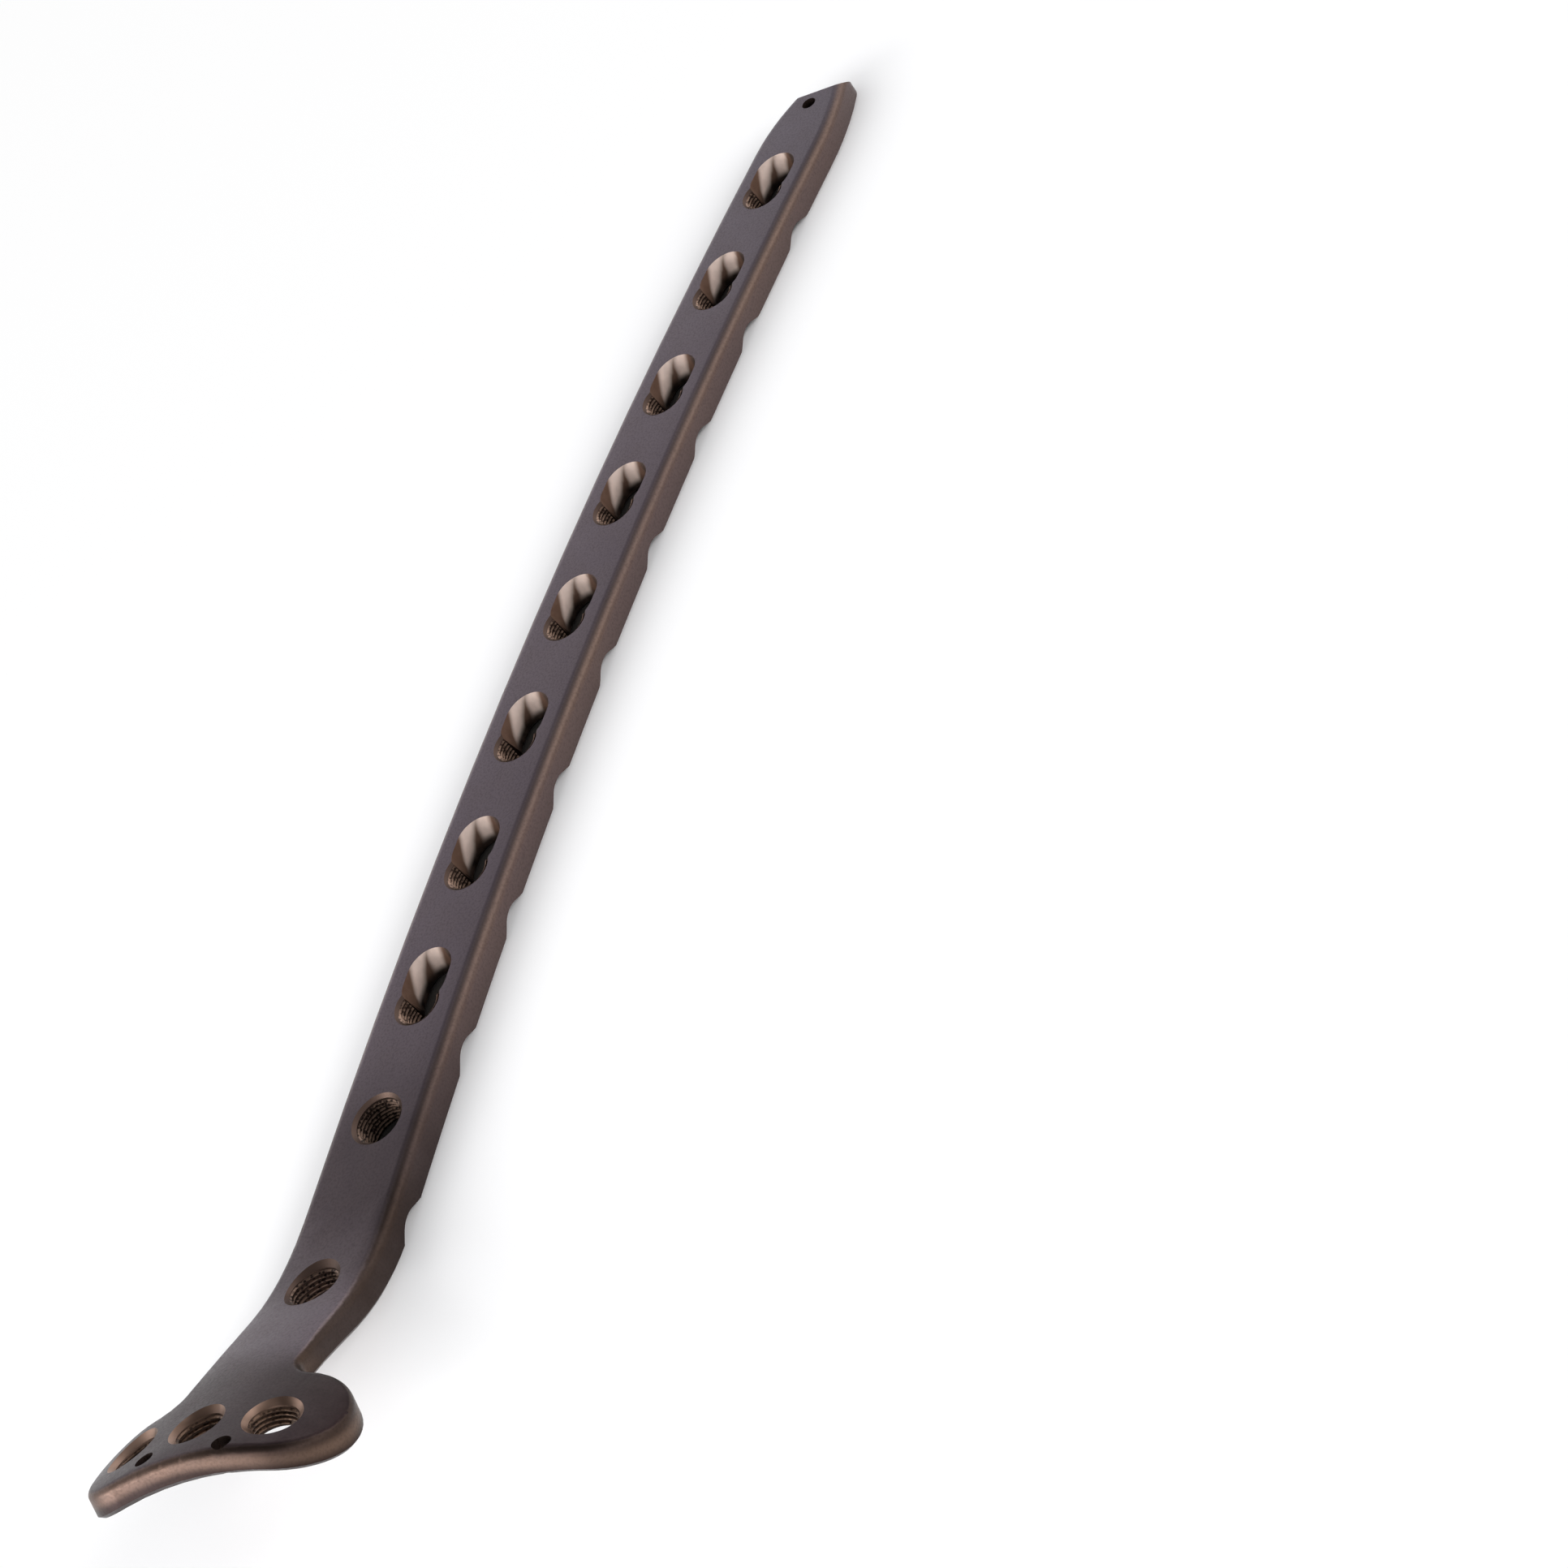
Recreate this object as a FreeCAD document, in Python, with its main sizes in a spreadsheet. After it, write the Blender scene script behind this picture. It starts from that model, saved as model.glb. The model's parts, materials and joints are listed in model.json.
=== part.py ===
"""T shaped bone plate for the upper end of a shin bone: one milled piece of titanium.

The shaft lies flat on its bone side, and the head bends up and away from it.
Millimetres. The origin is on the bone side, under the round hole next to the neck.
+X runs along the shaft towards its tip, +Z points out of the bone.
"""
import FreeCAD
import Part
import math
import os

Vec = FreeCAD.Vector
UP = Vec(0, 0, 1)

os.makedirs("parts", exist_ok=True)
doc = FreeCAD.newDocument("bone_plate")

# Driving dimensions, one cell each
SIZES = [
    ("hole_pitch", 18.0, "from one combination hole to the next"),
    ("combi_count", 8, "combination holes in the shaft"),
    ("first_combi", 14.7, "first combination hole from the first round hole"),
    ("round_gap", 20.8, "second round hole from the first"),
    ("tip_wire_gap", 16.7, "tip wire hole from the last combination hole"),
    ("tip_reach", 23.4, "end of the tip from the last combination hole"),
    ("shaft_bow_radius", 790.0, "sideways curve of the shaft"),
    ("neck_bow_radius", 242.0, "sideways curve of the neck and head"),
    ("neck_width", 12.3, "shaft width at the first round hole"),
    ("tip_width", 11.2, "shaft width where the tip starts"),
    ("neck_flare", 0.0063, "how much each side of the neck widens, per millimetre"),
    ("tip_nose_radius", 3.0, "rounding of the tip seen from above"),
    ("tip_nose_shift", 0.8, "tip, off the middle line to the right"),
    ("tip_taper_run", 8.0, "last combination hole to the start of the taper"),
    ("tip_face_gap", 2.1, "tip wire hole to the sloping end face"),
    ("tip_face_angle", 38.0, "slope of the end face"),
    ("tip_face_skew", 15.0, "turn of the end face, seen from above"),
    ("shaft_thickness", 4.2, "plate thickness along the shaft"),
    ("head_thickness", 2.9, "plate thickness in the head"),
    ("bend_start", 11.6, "first round hole to the start of the bend"),
    ("bend_radius", 28.0, "bend of the neck, on the top face"),
    ("bend_angle", 27.0, "how far the head leans away from the shaft"),
    ("right_wrap_radius", 32.4, "curve of the head over the bone, right half"),
    ("left_wrap_radius", 37.8, "curve of the head over the bone, left half"),
    ("head_roll", 1.2, "tilt of the head to one side"),
    ("wrap_run", 14.6, "length over which those curves build up"),
    ("head_row", 44.4, "row of head holes from the first round hole"),
    ("head_hole_step", 8.5, "from the middle head hole to the outer ones"),
    ("row_slant", 0.038, "how far the row leans, per millimetre to the left"),
    ("right_lobe_radius", 6.5, "larger lobe of the head"),
    ("right_lobe_side", 8.75, "larger lobe, sideways from the row's middle"),
    ("right_lobe_back", 1.6, "larger lobe, back from the row"),
    ("left_lobe_radius", 5.9, "smaller lobe of the head"),
    ("left_lobe_side", 7.5, "smaller lobe, sideways from the row's middle"),
    ("left_lobe_back", -0.8, "smaller lobe, back from the row"),
    ("lobe_fillet", 2.2, "hollow corner between a lobe and the neck"),
    ("right_wire_ahead", 4.25, "right head wire hole, in front of the row"),
    ("left_wire_ahead", 3.9, "left head wire hole, in front of the row"),
    ("right_wire_side", 5.2, "right head wire hole, sideways"),
    ("left_wire_side", 4.1, "left head wire hole, sideways"),
    ("top_round", 1.4, "rounding of the shaft's top edge"),
    ("under_bevel", 0.5, "bevel of the bone side edge"),
    ("head_top_round", 0.9, "rounding of the head's top edge"),
    ("notch_offset", 4.6, "undercut ahead of a combination hole, towards the head"),
    ("notch_depth", 1.6, "depth of an undercut"),
    ("notch_length", 12.6, "length of an undercut, with its run in and run out"),
    ("notch_radius", 3.5, "rounding at the top of an undercut"),
    ("thread_radius", 2.6, "threaded half of a combination hole"),
    ("thread_lead", 0.35, "chamfer above that thread"),
    ("slot_half_width", 2.95, "sliding half of a combination hole, top"),
    ("slot_under_half_width", 2.4, "sliding half of a combination hole, bottom"),
    ("slot_start", 2.7, "threaded centre to the near centre of the slot"),
    ("slot_stop", 4.4, "threaded centre to the far centre of the slot"),
    ("slot_lip", 0.5, "flare on the bone side of the slot"),
    ("round_radius", 2.85, "round threaded holes in the shaft"),
    ("round_lead", 0.4, "chamfer above that thread"),
    ("head_hole_radius", 2.5, "threaded holes in the head"),
    ("head_lead", 0.65, "countersink above that thread"),
    ("tip_wire_radius", 1.0, "wire hole in the tip"),
    ("head_wire_radius", 1.0, "wire holes in the head"),
]

sheet = doc.addObject("Spreadsheet::Sheet", "Sizes")
for row, (alias, value, note) in enumerate(SIZES, start=1):
    sheet.set("A%d" % row, alias)
    sheet.set("B%d" % row, str(value))
    sheet.set("C%d" % row, note)
    sheet.setAlias("B%d" % row, alias)
doc.recompute()


def size(alias):
    """One driving dimension, as a plain number."""
    return float(getattr(sheet, alias))


# The middle line of the top face and the curved face around it

BEND_AT = -size("bend_start")
BEND_ANGLE = math.radians(size("bend_angle"))
BEND_RADIUS = size("bend_radius")
BEND_LENGTH = BEND_RADIUS * BEND_ANGLE
SHAFT_TURN = -1.0 / size("shaft_bow_radius")
NECK_TURN = -1.0 / size("neck_bow_radius")
HEAD_ROLL = math.radians(size("head_roll"))
LAST_COMBI = size("first_combi") + size("hole_pitch") * (size("combi_count") - 1)
TAPER_START = LAST_COMBI + size("tip_taper_run")
SHAFT_THICK = size("shaft_thickness")
HEAD_THICK = size("head_thickness")
STEP = 2.5
JOINT = BEND_AT + STEP


def along_arc(start, heading, turn, distance):
    """Point and heading after some distance on a flat arc."""
    new_heading = heading + turn * distance
    dx = (math.sin(new_heading) - math.sin(heading)) / turn
    dy = (math.cos(heading) - math.cos(new_heading)) / turn
    return start + Vec(dx, dy, 0), new_heading


def plan(distance):
    """Middle line seen from above, at a signed distance from the first round hole."""
    if distance >= BEND_AT:
        return along_arc(Vec(0, 0, 0), 0.0, SHAFT_TURN, distance)
    start, heading = along_arc(Vec(0, 0, 0), 0.0, SHAFT_TURN, BEND_AT)
    return along_arc(start, heading, NECK_TURN, distance - BEND_AT)


def ramp(x):
    """Smooth step from 0 to 1."""
    x = min(max(x, 0.0), 1.0)
    return x * x * (3 - 2 * x)


def spine(distance):
    """Point, direction to the tip, to the left and outwards, on the top middle line."""
    run = max(0.0, BEND_AT - distance)
    bent = min(run, BEND_LENGTH)
    lean = bent / BEND_RADIUS
    straight = run - bent
    ahead = BEND_RADIUS * math.sin(lean) + straight * math.cos(lean)
    rise = BEND_RADIUS * (1 - math.cos(lean)) + straight * math.sin(lean)
    point, heading = plan(distance if run == 0 else BEND_AT - ahead)
    flat = Vec(math.cos(heading), math.sin(heading), 0)
    left = Vec(-math.sin(heading), math.cos(heading), 0)
    out = UP * math.cos(lean) + flat * math.sin(lean)
    roll = HEAD_ROLL * ramp(run / size("wrap_run"))
    rolled_out = out * math.cos(roll) + left * math.sin(roll)
    rolled_left = left * math.cos(roll) - out * math.sin(roll)
    return point + UP * (SHAFT_THICK + rise), left.cross(out), rolled_left, rolled_out


def surface(distance, side):
    """Point and outward direction on the top face, to one side of the middle line."""
    point, tip, left, out = spine(distance)
    radius = size("right_wrap_radius") if side < 0 else size("left_wrap_radius")
    curve = ramp((BEND_AT - distance) / size("wrap_run")) / radius
    turn = curve * side
    if abs(turn) < 1e-9:
        return point + left * side, out
    point = point + left * (math.sin(turn) / curve) - out * ((1 - math.cos(turn)) / curve)
    return point, out * math.cos(turn) + left * math.sin(turn)


def thickness(distance):
    """The plate thins from shaft to head through the bend."""
    share = ramp((BEND_AT - distance) / (BEND_LENGTH + size("wrap_run") / 2))
    return SHAFT_THICK + (HEAD_THICK - SHAFT_THICK) * share


def half_width(distance):
    """Half the width of the shaft and neck."""
    if distance < JOINT:
        return half_width(JOINT) + size("neck_flare") * (JOINT - distance)
    share = max(0.0, distance) / TAPER_START
    return (size("neck_width") + (size("tip_width") - size("neck_width")) * share) / 2


def edge_point(distance, side):
    """A point beside the middle line of the flat shaft, at the bone side."""
    point, heading = plan(distance)
    return point + Vec(-math.sin(heading), math.cos(heading), 0) * side


# Shaft blank: a flat bar with a bullet tip

TIP_END = LAST_COMBI + size("tip_reach")
NOSE = size("tip_nose_radius")


def tip_arc(sign):
    """Side of the tip: an arc that leaves the shaft smoothly and meets the nose.

    Worked out in distance and side. The arc touches the shaft's side at the taper
    start and the nose circle from outside.
    """
    half = half_width(TAPER_START)
    reach = TIP_END - NOSE - TAPER_START
    fall = half + sign * size("tip_nose_shift")
    big = (reach * reach + fall * fall - NOSE * NOSE) / (2 * (fall - NOSE))
    turn = math.atan2(reach, big - fall)
    spots = []
    for share in (0.0, 0.5, 1.0):
        away = big * math.sin(turn * share)
        side = half - big + big * math.cos(turn * share)
        spots.append((TAPER_START + away, sign * side))
    return spots


def shaft_outline():
    """Closed outline of the shaft, from the joint to the tip."""
    lower = [edge_point(d, -half_width(d)) for d in (JOINT, TAPER_START / 2, TAPER_START)]
    upper = [edge_point(d, half_width(d)) for d in (TAPER_START, TAPER_START / 2, JOINT)]
    right_tip = [edge_point(*p) for p in tip_arc(-1)]
    left_tip = [edge_point(*p) for p in reversed(tip_arc(1))]
    nose = edge_point(TIP_END, -size("tip_nose_shift"))
    edges = [
        Part.Arc(*lower).toShape(),
        Part.Arc(*right_tip).toShape(),
        Part.Arc(right_tip[2], nose, left_tip[0]).toShape(),
        Part.Arc(*left_tip).toShape(),
        Part.Arc(*upper).toShape(),
        Part.makeLine(upper[2], lower[0]),
    ]
    return Part.Wire(edges)


shaft = Part.Face(shaft_outline()).extrude(UP * SHAFT_THICK)

# Head blank: a curved slab, cut to the outline of neck and head

HEAD_END = -size("head_row") - size("left_lobe_radius") - size("right_lobe_radius")
SLAB_HALF = size("right_lobe_side") + size("right_lobe_radius") + 2 * STEP


def knots(first, last):
    """Where the poles of an even cubic spline sit, with its knot values and counts."""
    spans = max(4, int(math.ceil(abs(last - first) / STEP)))
    values = [float(k) for k in range(spans + 1)]
    counts = [4] + [1] * (spans - 1) + [4]
    full = [0.0] * 3 + values + [float(spans)] * 3
    places = [sum(full[k + 1:k + 4]) / 3 for k in range(spans + 3)]
    return [first + (last - first) * p / spans for p in places], values, counts


def slab_face(depth_share):
    """Top face of the slab, or its bone side, as one spline surface."""
    along, u_knots, u_counts = knots(JOINT, HEAD_END)
    across, v_knots, v_counts = knots(-SLAB_HALF, SLAB_HALF)
    poles = []
    for distance in along:
        line = []
        for side in across:
            point, out = surface(distance, side)
            line.append(point - out * (thickness(distance) * depth_share))
        poles.append(line)
    face = Part.BSplineSurface()
    face.buildFromPolesMultsKnots(
        poles, u_counts, v_counts, u_knots, v_knots, False, False, 3, 3
    )
    return face


top = slab_face(0.0)
under = slab_face(1.0)
u_first, u_last, v_first, v_last = top.bounds()
rims = []
for face in (top, under):
    rims.append([
        face.uIso(u_first).toShape(),
        face.vIso(v_last).toShape(),
        face.uIso(u_last).toShape(),
        face.vIso(v_first).toShape(),
    ])
sides = [Part.makeRuledSurface(a, b) for a, b in zip(*rims)]
joint_corners = [
    top.value(u_first, v_first), top.value(u_first, v_last),
    under.value(u_first, v_last), under.value(u_first, v_first),
]
sides[0] = Part.Face(Part.makePolygon(joint_corners + joint_corners[:1]))
shell = Part.Shell([top.toShape(), under.toShape()] + sides)
shell.sewShape()
slab = Part.Solid(Part.Shell(shell.Faces))
if slab.Volume < 0:
    slab.reverse()

# Cutting direction: the head's outward direction, kept square to the shaft's sides
joint_point, joint_heading = plan(JOINT)
joint_flat = Vec(math.cos(joint_heading), math.sin(joint_heading), 0)
joint_left = Vec(-math.sin(joint_heading), math.cos(joint_heading), 0)
AIM = UP * math.cos(BEND_ANGLE) + joint_flat * math.sin(BEND_ANGLE)
AIM_ALONG = joint_left.cross(AIM)
BASE = joint_point + UP * SHAFT_THICK


def flatten(point):
    """A point moved along the cutting direction into the plane of the head outline."""
    return point - AIM * (point - BASE).dot(AIM)


def head_point(distance, side):
    """A place on the curved top face, in the plane of the head outline."""
    return flatten(surface(distance, side)[0])


def row_place(side, ahead=0.0):
    """Distance of a place in front of the head row, which leans a little."""
    return -size("head_row") - size("row_slant") * side - ahead


half = half_width(JOINT)
right_centre = head_point(-size("head_row") + size("right_lobe_back"), -size("right_lobe_side"))
left_centre = head_point(-size("head_row") + size("left_lobe_back"), size("left_lobe_side"))
neck_stop = size("head_row") + min(size("left_lobe_radius"), size("right_lobe_radius")) / 2
neck_run = [JOINT - STEP * k for k in range(1, int((neck_stop + JOINT) / STEP) + 1)]
neck_sides = []
for sign in (-1, 1):
    points = [BASE + joint_left * (sign * half)]
    points += [head_point(d, sign * half_width(d)) for d in neck_run]
    curve = Part.BSplineCurve()
    curve.interpolate(
        Points=points, InitialTangent=-AIM_ALONG, FinalTangent=points[-1] - points[-2]
    )
    neck_sides.append((curve.toShape(), points[0], points[-1]))
overlap = AIM_ALONG * (2 * SHAFT_THICK)
neck_wire = Part.Wire([
    neck_sides[0][0],
    Part.makeLine(neck_sides[0][2], neck_sides[1][2]),
    neck_sides[1][0],
    Part.makeLine(neck_sides[1][1], neck_sides[1][1] + overlap),
    Part.makeLine(neck_sides[1][1] + overlap, neck_sides[0][1] + overlap),
    Part.makeLine(neck_sides[0][1] + overlap, neck_sides[0][1]),
])

# The front edge touches both lobes
across = left_centre - right_centre
lean_in = math.asin((size("right_lobe_radius") - size("left_lobe_radius")) / across.Length)
across.normalize()
forward = AIM.cross(across)
if forward.dot(AIM_ALONG) > 0:
    forward = forward * -1
touch = forward * math.cos(lean_in) + across * math.sin(lean_in)
bar_corners = [
    left_centre,
    left_centre + touch * size("left_lobe_radius"),
    right_centre + touch * size("right_lobe_radius"),
    right_centre,
]
DEEP = 40.0


def cutter(face):
    """A prism along the cutting direction, through the whole slab."""
    face.translate(AIM * -DEEP)
    return face.extrude(AIM * (2 * DEEP))


lobes = []
for centre, alias, inward in (
    (left_centre, "left_lobe_radius", across * -1),
    (right_centre, "right_lobe_radius", across),
):
    front = centre + touch * size(alias)
    inner = centre + inward * size(alias)
    outer = centre - inward * size(alias)
    between = centre + (touch + inward).normalize() * size(alias)
    lobe_edges = [Part.Arc(front, outer, inner).toShape(), Part.Arc(inner, between, front).toShape()]
    lobes.append(cutter(Part.Face(Part.Wire(lobe_edges))))
head_tool = cutter(Part.Face(neck_wire))
head_tool = head_tool.fuse(lobes + [cutter(Part.Face(Part.makePolygon(bar_corners + bar_corners[:1])))])
head_tool = head_tool.removeSplitter()
corners = []
for edge in head_tool.Edges:
    spot = flatten(edge.CenterOfMass)
    back = (left_centre - spot).dot(touch)
    near = min((spot - left_centre).Length, (spot - right_centre).Length)
    if edge.Length > 1.9 * DEEP and near < 1.2 * size("right_lobe_radius") and back > 1:
        corners.append(edge)
head_tool = head_tool.makeFillet(size("lobe_fillet"), corners)
head = slab.common(head_tool)
blank = shaft.fuse(head).removeSplitter()

# Edges: rounded all round on top, less in the head than in the shaft, and bevelled below


def on_face(edge, face, level):
    """True if the middle of an edge lies on one side of the plate, but not at the joint."""
    middle = edge.valueAt((edge.FirstParameter + edge.LastParameter) / 2)
    if abs((middle - BASE).dot(joint_flat)) < 1e-3 and abs((middle - BASE).dot(joint_left)) < 1:
        return False
    ends = [vertex.Point for vertex in edge.Vertexes]
    for spot in [middle] + ends:
        in_shaft = (spot - BASE).dot(joint_flat) > -1e-3
        if in_shaft and abs(spot.z - level) > 1e-3:
            return False
        if not in_shaft and face.distToShape(Part.Vertex(spot))[0] > 1e-3:
            return False
    return True


def feature(label, shape):
    """A document object that holds a shape worked out in this script."""
    item = doc.addObject("Part::Feature", label)
    item.Label = label
    item.Shape = shape
    return item


def bound(kind, label, point, direction, **cells):
    """A solid of the document with its sizes bound to the sheet, set down in place."""
    item = doc.addObject(kind, label)
    item.Label = label
    for name, expression in cells.items():
        item.setExpression(name, expression)
    item.Placement = FreeCAD.Placement(point, FreeCAD.Rotation(UP, direction))
    return item


plain_blank = feature("plain_blank", blank)
top_rounded = doc.addObject("Part::Fillet", "top_rounded")
top_rounded.Label = "top_rounded"
top_rounded.Base = plain_blank
top_edges = []
for number, edge in enumerate(blank.Edges, start=1):
    if on_face(edge, top.toShape(), SHAFT_THICK):
        radii = []
        for vertex in (edge.firstVertex(True), edge.lastVertex(True)):
            in_shaft = (vertex.Point - BASE).dot(joint_flat) > -1e-3
            radii.append(size("top_round" if in_shaft else "head_top_round"))
        top_edges.append((number, radii[0], radii[1]))
top_rounded.Edges = top_edges
doc.recompute()

blank_item = doc.addObject("Part::Chamfer", "under_bevelled")
blank_item.Label = "under_bevelled"
blank_item.Base = top_rounded
bevel = size("under_bevel")
blank_item.Edges = [
    (number, bevel, bevel)
    for number, edge in enumerate(top_rounded.Shape.Edges, start=1)
    if on_face(edge, under.toShape(), 0.0)
]
doc.recompute()
cutters = []
OVER = SHAFT_THICK


def drill(label, alias, point, out):
    """A straight hole through the plate, along its outward direction."""
    cutters.append(bound(
        "Part::Cylinder", label, point - out * (2 * OVER), out,
        Radius="Sizes." + alias, Height="4 * Sizes.shaft_thickness",
    ))


def countersink(label, alias, lead, point, out):
    """A cone that opens a hole at the top face, by the lead on each side."""
    cutters.append(bound(
        "Part::Cone", label, point - out * size(lead), out,
        Radius1="Sizes." + alias,
        Radius2="Sizes.%s + 3 * Sizes.%s" % (alias, lead),
        Height="3 * Sizes." + lead,
    ))


# Round holes: two in the neck, three in the head, and the small wire holes

for label, distance in (("round_hole_shaft", 0.0), ("round_hole_neck", -size("round_gap"))):
    point, out = surface(distance, 0.0)
    drill(label, "round_radius", point, out)
    countersink(label + "_lead", "round_radius", "round_lead", point, out)

for label, side in (("head_hole_right", -1), ("head_hole_middle", 0), ("head_hole_left", 1)):
    offset = side * size("head_hole_step")
    point, out = surface(row_place(offset), offset)
    drill(label, "head_hole_radius", point, out)
    countersink(label + "_lead", "head_hole_radius", "head_lead", point, out)

for label, offset, ahead in (
    ("wire_hole_right", -size("right_wire_side"), size("right_wire_ahead")),
    ("wire_hole_left", size("left_wire_side"), size("left_wire_ahead")),
):
    point, out = surface(row_place(offset, ahead), offset)
    drill(label, "head_wire_radius", point, out)

TIP_WIRE = LAST_COMBI + size("tip_wire_gap")
point, out = surface(TIP_WIRE, 0.0)
drill("wire_hole_tip", "tip_wire_radius", point, out)

# Combination holes: a threaded round half towards the head, a smooth slot towards the tip

CLEAR = 1.0


def slot_ring(distance, half, level):
    """Outline of the slot at one level: two half circles and two straight sides."""
    centre, heading = plan(distance)
    ahead = Vec(math.cos(heading), math.sin(heading), 0)
    left = Vec(-math.sin(heading), math.cos(heading), 0)
    near = centre + ahead * size("slot_start") + UP * level
    far = centre + ahead * size("slot_stop") + UP * level
    return Part.Wire([
        Part.Arc(near + left * half, near - ahead * half, near - left * half).toShape(),
        Part.makeLine(near - left * half, far - left * half),
        Part.Arc(far - left * half, far + ahead * half, far + left * half).toShape(),
        Part.makeLine(far + left * half, near + left * half),
    ])


def slot_cutter(distance):
    """The slot: steep walls that close in downwards, and a flare at the bone side."""
    wide = size("slot_half_width")
    narrow = size("slot_under_half_width")
    lip = size("slot_lip")
    slope = (wide - narrow) / SHAFT_THICK
    rings = [
        slot_ring(distance, wide + slope * CLEAR, SHAFT_THICK + CLEAR),
        slot_ring(distance, narrow - slope * CLEAR, -CLEAR),
    ]
    flare = [
        slot_ring(distance, narrow + slope * lip, lip),
        slot_ring(distance, narrow + lip + CLEAR, -CLEAR),
    ]
    return Part.makeLoft(rings, True, True).fuse(Part.makeLoft(flare, True, True))


for count in range(int(size("combi_count"))):
    distance = size("first_combi") + size("hole_pitch") * count
    label = "combination_hole_%d" % (count + 1)
    point, out = surface(distance, 0.0)
    drill(label + "_round", "thread_radius", point, out)
    countersink(label + "_lead", "thread_radius", "thread_lead", point, out)
    cutters.append(feature(label + "_slot", slot_cutter(distance)))

# Undercuts on the bone side

RUN_IN = 0.08


def notch_cutter(distance):
    """A soft hollow across the bone side: an arc with rounded run in and run out."""
    reach = size("notch_length") / 2
    deep = size("notch_depth") + RUN_IN
    turn = 2 * math.atan(deep / reach)
    crown = min(size("notch_radius"), 0.8 * reach / math.sin(turn))
    shoulder = reach / math.sin(turn) - crown
    centre, heading = plan(distance)
    ahead = Vec(math.cos(heading), math.sin(heading), 0)
    left = Vec(-math.sin(heading), math.cos(heading), 0)

    def spot(x, height):
        return centre + ahead * x + UP * (height - RUN_IN) - left * size("neck_width")

    knee = (crown * math.sin(turn), deep - crown * (1 - math.cos(turn)))
    soft = (reach - shoulder * math.sin(turn / 2), shoulder * (1 - math.cos(turn / 2)))
    floor = -2 * CLEAR
    edges = [
        Part.Arc(spot(-reach, 0), spot(-soft[0], soft[1]), spot(-knee[0], knee[1])).toShape(),
        Part.Arc(spot(-knee[0], knee[1]), spot(0, deep), spot(*knee)).toShape(),
        Part.Arc(spot(*knee), spot(*soft), spot(reach, 0)).toShape(),
        Part.makeLine(spot(reach, 0), spot(reach, floor)),
        Part.makeLine(spot(reach, floor), spot(-reach, floor)),
        Part.makeLine(spot(-reach, floor), spot(-reach, 0)),
    ]
    return Part.Face(Part.Wire(edges)).extrude(left * (2 * size("neck_width")))


notch_places = [-0.54 * size("round_gap")]
for count in range(int(size("combi_count"))):
    notch_places.append(size("first_combi") + size("hole_pitch") * count - size("notch_offset"))
for count, distance in enumerate(notch_places):
    cutters.append(feature("undercut_%d" % (count + 1), notch_cutter(distance)))

# Sloping end face of the tip

crease, heading = plan(TIP_WIRE + size("tip_face_gap"))
heading = heading + math.radians(size("tip_face_skew"))
flat = Vec(math.cos(heading), math.sin(heading), 0)
left = Vec(-math.sin(heading), math.cos(heading), 0)
slope = math.radians(size("tip_face_angle"))
face_out = UP * math.cos(slope) + flat * math.sin(slope)
end_box = doc.addObject("Part::Box", "end_face_cutter")
end_box.Label = "end_face_cutter"
end_box.setExpression("Length", "4 * Sizes.neck_width")
end_box.setExpression("Width", "2 * Sizes.neck_width")
end_box.setExpression("Height", "2 * Sizes.neck_width")
downhill = left.cross(face_out)
corner = crease + UP * SHAFT_THICK - left * size("neck_width") - downhill * (2 * size("neck_width"))
end_box.Placement = FreeCAD.Placement(corner, FreeCAD.Rotation(downhill, left, face_out, "ZXY"))
cutters.append(end_box)

doc.recompute()

tools = doc.addObject("Part::Compound", "all_cutters")
tools.Label = "all_cutters"
tools.Links = cutters
plate = doc.addObject("Part::Cut", "bone_plate")
plate.Label = "bone_plate"
plate.Base = blank_item
plate.Tool = tools
doc.recompute()

for item in doc.Objects:
    if "Invalid" in item.State or "Error" in item.State:
        raise RuntimeError("not built: " + item.Label)
if not plate.Shape.isValid() or len(plate.Shape.Solids) != 1:
    raise RuntimeError("the plate is not one sound solid")

plate.Shape.Solids[0].exportStep("parts/bone_plate.step")
print("volume", round(plate.Shape.Volume, 1))
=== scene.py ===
# %% [markdown]
# # T shaped bone plate
# A long bone plate, milled from one bar of titanium and anodised brown. It lies on its bone
# side, with the bent head in the air. The construction model gives the solid, and its size
# stays as it is. This script gives the plate its finish, its threads and its light.
#
# All lengths are in metres. +X runs along the shaft to the tip and +Z points out of the bone.

# %% Load the plate
import json
import math
import bmesh
import bpy
from mathutils import Matrix, Vector
from mathutils.kdtree import KDTree

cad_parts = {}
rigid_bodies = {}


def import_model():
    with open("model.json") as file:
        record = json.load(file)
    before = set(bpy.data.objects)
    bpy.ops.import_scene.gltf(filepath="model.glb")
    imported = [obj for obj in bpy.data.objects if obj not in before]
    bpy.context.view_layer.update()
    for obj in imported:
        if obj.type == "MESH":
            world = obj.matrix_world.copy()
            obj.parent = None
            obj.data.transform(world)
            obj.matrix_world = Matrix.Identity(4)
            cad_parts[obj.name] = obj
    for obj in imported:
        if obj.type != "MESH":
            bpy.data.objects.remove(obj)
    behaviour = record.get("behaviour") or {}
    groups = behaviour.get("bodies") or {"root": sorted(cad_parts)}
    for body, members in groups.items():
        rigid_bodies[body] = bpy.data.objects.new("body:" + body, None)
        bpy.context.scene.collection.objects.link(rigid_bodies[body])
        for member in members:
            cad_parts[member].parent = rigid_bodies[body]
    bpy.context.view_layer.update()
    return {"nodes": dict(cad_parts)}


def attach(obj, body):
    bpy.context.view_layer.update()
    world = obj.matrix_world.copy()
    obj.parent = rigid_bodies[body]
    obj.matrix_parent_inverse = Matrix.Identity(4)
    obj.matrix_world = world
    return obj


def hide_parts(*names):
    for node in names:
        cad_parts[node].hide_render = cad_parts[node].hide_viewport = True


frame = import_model()
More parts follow.
